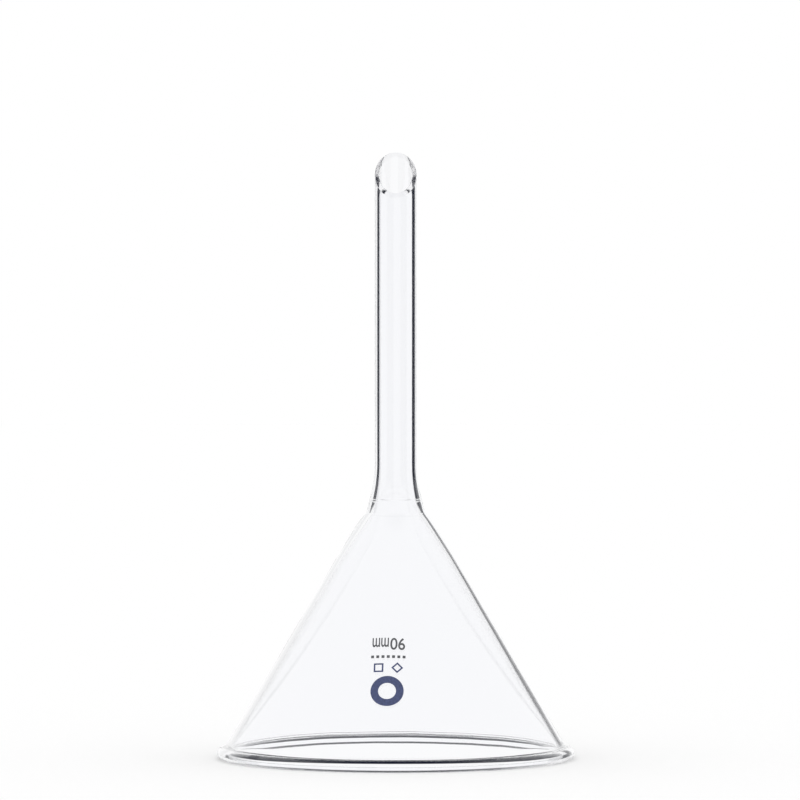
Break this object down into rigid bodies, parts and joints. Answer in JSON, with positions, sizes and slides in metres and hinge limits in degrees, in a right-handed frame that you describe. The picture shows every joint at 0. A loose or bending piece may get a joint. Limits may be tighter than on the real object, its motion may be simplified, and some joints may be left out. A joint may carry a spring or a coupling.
{
  "type": "conical filter funnel",
  "caption": "Conical glass filter funnel with a beaded rim, a fused neck and a long straight stem with a slanted tip.",
  "frame": {"origin": "centre of the circle on which the rim rests, at the rim's flat", "axes": "+Z along the stem, from the mouth to the tip; the slanted tip looks towards -Y"},
  "size_m": [0.09, 0.09, 0.1528],
  "materials": {
    "glass": "clear polished borosilicate glass",
    "print": "slate blue ink fired on to the glass"
  },
  "bodies": {
    "root": {"funnel": "glass"}
  },
  "joints": []
}
